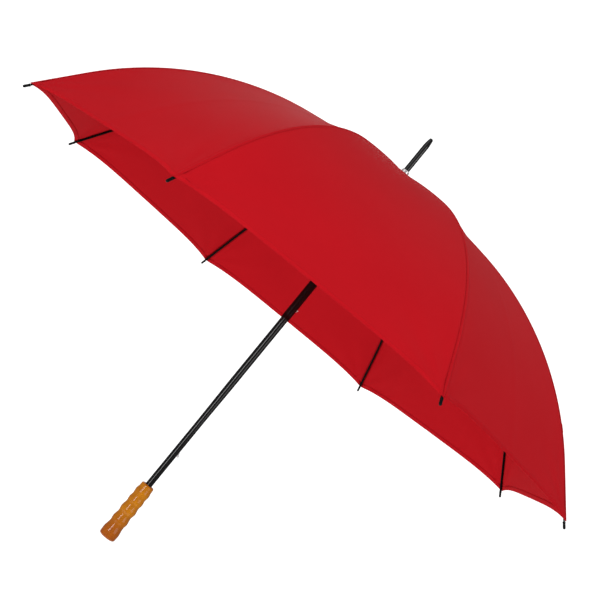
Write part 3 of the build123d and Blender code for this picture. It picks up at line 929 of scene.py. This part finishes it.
@dataclass
class Shaft:
    """The tapered tube, the runner's sleeve, the ferrule and its ring."""

    bore: float = 0.0055
    lower: float = 0.00675
    upper: float = 0.0076
    taper: tuple = (0.270, 0.385)
    runner_bore: float = 0.0079
    sleeve: float = 0.0087
    ferrule: float = 0.0061
    seat: float = 0.0059
    ferrule_straight: float = 0.967
    ferrule_end: tuple = (0.0042, 0.9842)
    tip_flat: float = 0.0016
    window_play: float = 0.0012
    window_width: float = 0.0024
    catch_tail: float = 0.003
    catch_nose: float = 0.014
    lip: float = 0.0007
    runner_window: tuple = (0.011, 0.029)
    runner_window_width: float = 0.003
    ring_rounding: float = 0.0016

    def spring_window(self, node: str) -> tuple[float, float]:
        """The heights between which a catch's nose comes through the tube.

        Args:
            node: the catch's node.

        Returns:
            The lower and the upper edge.
        """
        low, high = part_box(node)
        tail, nose = self.catch_tail, self.catch_nose
        if node == "bottom_spring":
            return high[2] - tail - nose - self.window_play, high[2] - tail + self.window_play
        return low[2] + tail - self.window_play, low[2] + tail + nose + self.window_play

    def tube(self, lacquer: bpy.types.Material) -> None:
        """Make the tapered tube with its two catch windows.

        Args:
            lacquer: its finish.
        """
        low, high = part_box("shaft_tube")
        steps = 10
        slope = [(self.lower + (self.upper - self.lower) * (1 - cos(pi * k / steps)) / 2,
                  self.taper[0] + (self.taper[1] - self.taper[0]) * k / steps)
                 for k in range(steps + 1)]
        tube = lathe([(self.bore, low[2]), (self.lower, low[2]), *slope, (self.upper, high[2]),
                      (self.bore, high[2])], 72)
        for node in ("bottom_spring", "top_spring"):
            bottom, top = self.spring_window(node)
            cut_window(tube, bottom, top, self.window_width)
        self.keep(finish_mesh("tube", tube, lacquer), "shaft", "shaft_tube")

    def runner(self, lacquer: bpy.types.Material) -> None:
        """Make the runner's sleeve, flared at its foot, with its catch window.

        Args:
            lacquer: its finish.
        """
        low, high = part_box("runner_sleeve")
        foot, bore, wall, lip = low[2], self.runner_bore, self.sleeve, self.lip
        outline = [(bore, foot + lip)]
        outline += round_corner((bore, foot), (bore, foot + lip), (wall, foot), 4)[1:]
        outline += round_corner((wall + lip, foot), (wall, foot), (wall, foot + 3 * lip), 5)[1:]
        outline += [(wall, high[2]), (bore, high[2])]
        sleeve = lathe(outline, 72)
        bottom, top = self.runner_window
        cut_window(sleeve, foot + bottom, foot + top, self.runner_window_width)
        self.keep(finish_mesh("sleeve", sleeve, lacquer), "runner", "runner_sleeve")

    def spike(self, gloss: bpy.types.Material) -> None:
        """Make the ferrule with its seat in the ring and its rounded taper.

        Args:
            gloss: its finish.
        """
        low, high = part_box("ferrule")
        ring_low, ring_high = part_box("ferrule_ring")
        outline = [(0.0, low[2]), (self.bore, low[2]), (self.bore, ring_low[2]),
                   (self.seat, ring_low[2]), (self.seat, ring_high[2]),
                   (self.ferrule, ring_high[2]), (self.ferrule, self.ferrule_straight)]
        shoulder = (self.ferrule, self.ferrule_straight + 0.005)
        outline += round_corner(shoulder, outline[-1], self.ferrule_end, 8)[1:]
        outline += round_corner((self.ferrule_end[0] - 0.0006, high[2]), self.ferrule_end,
                                (self.tip_flat, high[2]), 8)[1:]
        outline += [(0.0, high[2])]
        self.keep(finish_mesh("spike", lathe(outline), gloss, 50.0), "shaft", "ferrule")

    def ring(self, plating: bpy.types.Material) -> None:
        """Make the ring round the ferrule's seat.

        Args:
            plating: its finish.
        """
        low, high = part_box("ferrule_ring")
        wide, bottom, top, edge = high[0], low[2], high[2], self.ring_rounding
        outline = [(self.seat, bottom), (wide - edge, bottom)]
        outline += round_corner((wide, bottom), outline[-1], (wide, bottom + edge), 6)[1:]
        outline += round_corner((wide, top), (wide, top - edge), (wide - edge, top), 6)
        outline += [(self.seat, top)]
        self.keep(finish_mesh("collar_ring", lathe(outline), plating, 50.0), "shaft",
                  "ferrule_ring")

    def build(self, lacquer: bpy.types.Material, gloss: bpy.types.Material,
              plating: bpy.types.Material) -> None:
        """Make the pieces that are turned about the shaft's axis.

        Args:
            lacquer: the finish of the tube and the sleeve.
            gloss: the ferrule's finish.
            plating: the ring's finish.
        """
        self.tube(lacquer)
        self.runner(lacquer)
        self.spike(gloss)
        self.ring(plating)

    def keep(self, piece: bpy.types.Object, body: str, node: str) -> None:
        """Ride a piece on a body in place of a node.

        Args:
            piece: the piece.
            body: the body it moves with.
            node: the node it stands for.
        """
        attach(piece, body)
        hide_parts(node)
        LOG.info("%s turned", piece.name)


# ---- Ribs, stretchers and fittings -------------------------------------------------------


@dataclass
class Ribs:
    """The rib tips, turned anew, and the frame's own nodes with their finishes."""

    seam: SeamLine
    depth: float = 0.0027
    start: float = 0.0003
    radius: float = 0.0025
    length: float = 0.013

    def tip(self, number: int, plastic: bpy.types.Material) -> None:
        """Make the cap on one rib's end, with its rounded nose and collar.

        Args:
            number: the rib's number.
            plastic: the finish.
        """
        slope = self.seam.rim_slope
        radius, height, _ = self.seam.at(self.seam.length)
        origin = Vector((radius - self.depth * sin(slope), 0.0, height - self.depth * cos(slope)))
        along = Vector((cos(slope), 0.0, -sin(slope)))
        bead = self.radius * 1.08
        outline = [(0.0, 0.0), (bead * 0.9, 0.0)]
        outline += round_corner((bead, 0.0), (bead * 0.9, 0.0), (bead, 0.0008), 3)[1:]
        outline += [(bead, 0.002), (self.radius * 0.94, 0.0026),
                    (self.radius, self.length * 0.72)]
        outline += round_corner((self.radius, self.length), outline[-1],
                                (0.0006, self.length), 8)[1:]
        outline += [(0.0, self.length)]
        mesh = lathe(outline, 32)
        aim = along.to_track_quat("Z", "Y").to_matrix().to_4x4()
        place = turned((number - 0.5) * SPACING) @ Matrix.Translation(origin + along * self.start)
        bmesh.ops.transform(mesh, matrix=place @ aim, verts=mesh.verts)
        cap = finish_mesh(f"cap_{number}", mesh, plastic, 45.0)
        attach(cap, f"rib_{number}")
        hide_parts(f"rib_tip_{number}")

    def build(self, enamel: bpy.types.Material, plastic: bpy.types.Material,
              bright: bpy.types.Material, spring: bpy.types.Material) -> None:
        """Make the tips, and give every kept node its finish.

        Args:
            enamel: the finish of ribs and stretchers.
            plastic: the finish of tips, notch and collar.
            bright: the finish of rivets, wires and pins.
            spring: the catches' finish.
        """
        for number in range(1, RIBS + 1):
            self.tip(number, plastic)
            dress(f"rib_{number}", enamel)
            dress(f"stretcher_{number}", enamel)
            dress(f"rivet_{number}", bright)
        for node in ("notch_wire", "runner_wire", "catch_pins", "runner_stop"):
            dress(node, bright)
        for node in ("top_notch", "runner_collar"):
            dress(node, plastic)
        for node in ("top_spring", "bottom_spring"):
            dress(node, spring)
        LOG.info("ribs, stretchers and fittings dressed")


def dress(node: str, finish: bpy.types.Material) -> None:
    """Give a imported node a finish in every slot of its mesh.

    Args:
        node: the node.
        finish: its material.
    """
    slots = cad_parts[node].data.materials
    if not slots:
        slots.append(finish)
    for index in range(len(slots)):
        slots[index] = finish


# ---- Studio ------------------------------------------------------------------------------


@dataclass
class Studio:
    """White paper below and behind, soft lights and the camera."""

    floor_height: float = -2.4
    floor_size: float = 4.0
    eye: tuple = (0.01076, -2.17177, 0.40897)
    aim: tuple = (-0.00022, 0.0, 0.57911)
    roll: float = 39.318
    lens: float = 67.842
    ambient: float = 0.50
    mirrored: float = 0.22
    shown: float = 1.25

    def floor(self, paper: bpy.types.Material) -> None:
        """Lay the paper floor.

        Args:
            paper: its finish.
        """
        mesh = bmesh.new()
        bmesh.ops.create_grid(mesh, x_segments=1, y_segments=1, size=self.floor_size)
        bmesh.ops.translate(mesh, vec=(0, 0, self.floor_height), verts=mesh.verts)
        floor = finish_mesh("floor", mesh, paper)

    def lamp(self, name: str, place: tuple, size: tuple[float, float], power: float,
             target: tuple = (0.0, 0.0, 0.6)) -> None:
        """Hang an oblong soft light.

        Args:
            name: its name.
            place: where it hangs.
            size: its width and height.
            power: its power in watts.
            target: what it points at.
        """
        light = bpy.data.lights.new(name, "AREA")
        light.shape = "RECTANGLE"
        light.size, light.size_y = size
        light.energy = power
        lamp = bpy.data.objects.new(name, light)
        lamp.location = place
        lamp.rotation_mode = "QUATERNION"
        lamp.rotation_quaternion = (Vector(target) - Vector(place)).to_track_quat("-Z", "Y")
        bpy.context.scene.collection.objects.link(lamp)

    def world(self) -> None:
        """Make the surroundings: white to the eye, softer as a light, dim in a gloss."""
        world = bpy.data.worlds.new("studio")
        world.use_nodes = True
        tree = world.node_tree
        ground = tree.nodes["Background"]
        ground.inputs["Color"].default_value = (1.0, 1.0, 1.0, 1.0)
        path = tree.nodes.new("ShaderNodeLightPath")
        reach = tree.nodes.new("ShaderNodeMapRange")
        reach.inputs["To Min"].default_value = self.ambient
        reach.inputs["To Max"].default_value = self.mirrored
        tree.links.new(path.outputs["Is Glossy Ray"], reach.inputs["Value"])
        shown = tree.nodes.new("ShaderNodeMapRange")
        shown.inputs["To Max"].default_value = self.shown
        tree.links.new(path.outputs["Is Camera Ray"], shown.inputs["Value"])
        tree.links.new(reach.outputs["Result"], shown.inputs["To Min"])
        tree.links.new(shown.outputs["Result"], ground.inputs["Strength"])
        bpy.context.scene.world = world

    def camera(self) -> None:
        """Set up the camera, with colours shown as they are."""
        data = bpy.data.cameras.new("camera")
        data.lens = self.lens
        data.sensor_width = 36.0
        data.clip_end = 200.0
        camera = bpy.data.objects.new("camera", data)
        camera.location = self.eye
        sight = (Vector(self.aim) - Vector(self.eye)).to_track_quat("-Z", "Y")
        camera.rotation_mode = "QUATERNION"
        camera.rotation_quaternion = sight @ Quaternion((0.0, 0.0, 1.0), radians(self.roll))
        bpy.context.scene.collection.objects.link(camera)
        bpy.context.scene.camera = camera
        bpy.context.scene.view_settings.view_transform = "Standard"

    def build(self, paper: bpy.types.Material) -> None:
        """Set the whole studio up.

        Args:
            paper: the floor's finish.
        """
        self.floor(paper)
        self.world()
        self.lamp("strip", (-1.3, -2.75, 0.35), (0.7, 1.6), 36.0, (0.0, 0.0, 0.35))
        self.lamp("key", (-1.8, -2.4, 2.2), (2.2, 2.2), 14.0)
        self.lamp("fill", (2.8, -2.2, 1.0), (2.0, 2.0), 28.0)
        self.lamp("top", (0.8, 0.4, 3.2), (2.2, 2.2), 18.0)
        self.lamp("back", (-1.2, 3.0, 1.8), (2.0, 2.0), 22.0)
        self.camera()
        LOG.info("studio set")


def main() -> None:
    """Build every sub-assembly and the studio round it."""
    logging.basicConfig(level=logging.INFO, format="%(message)s")
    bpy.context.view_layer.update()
    cloth = CanopyCloth().build()
    lacquer = Lacquer("shaft_black_lacquer").build()
    gloss = Lacquer("ferrule_gloss_black", roughness=0.10, coat=1.0).build()
    enamel = Lacquer("rib_black_enamel", roughness=0.30, coat=0.0, grain=260.0).build()
    plastic = Lacquer("moulded_black_plastic", roughness=0.24, coat=0.05, grain=420.0,
                      depth=0.03 * MM).build()
    plating = BareMetal("polished_plating", tone=colour(0.85, 0.85, 0.86),
                        dull=colour(0.72, 0.72, 0.74), roughness=0.14, metal=0.6).build()
    bright = BareMetal("drawn_steel_wire").build()
    spring = BareMetal("spring_wire", tone=colour(0.85, 0.85, 0.86), dull=colour(0.6, 0.6, 0.61),
                       roughness=0.28, metal=0.5).build()
    canopy = Canopy()
    canopy.build(cloth)
    TieStrap(canopy).build(StrapWebbing().build(), plating)
    Grip().build(AmberWood().build())
    Shaft().build(lacquer, gloss, plating)
    Ribs(canopy.seam).build(enamel, plastic, bright, spring)
    Studio().build(StudioPaper().build())
    bpy.context.view_layer.update()
    LOG.info("sizes written")


if __name__ == "__main__":
    main()
